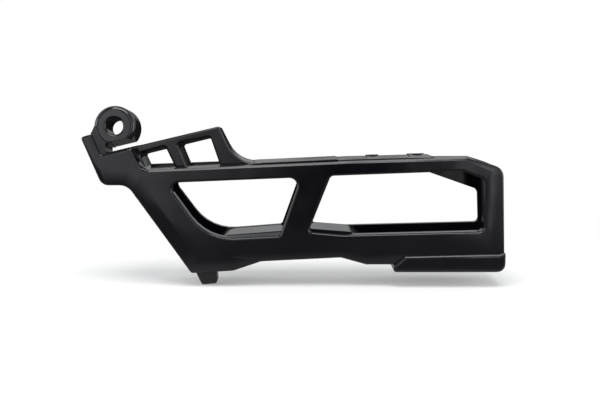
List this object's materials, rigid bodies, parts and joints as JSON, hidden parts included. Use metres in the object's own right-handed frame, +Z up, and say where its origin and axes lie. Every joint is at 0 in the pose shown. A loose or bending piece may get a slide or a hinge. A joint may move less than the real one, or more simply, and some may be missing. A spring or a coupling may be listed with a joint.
{
  "type": "motorcycle chain guide",
  "caption": "One-piece moulded chain guide: two windowed side plates, a roof and a ramped wear floor round an open chain channel, with a bracket and a bored lug.",
  "frame": {"origin": "middle of the lug's bore, on its axis", "axes": "+X rearward along the chain, +Y from the outer face towards the swingarm, +Z up"},
  "size_m": [0.2549, 0.038, 0.1096],
  "materials": {
    "black_plastic": "satin moulded"
  },
  "bodies": {
    "root": {"chain_guide": "black_plastic"}
  },
  "joints": []
}
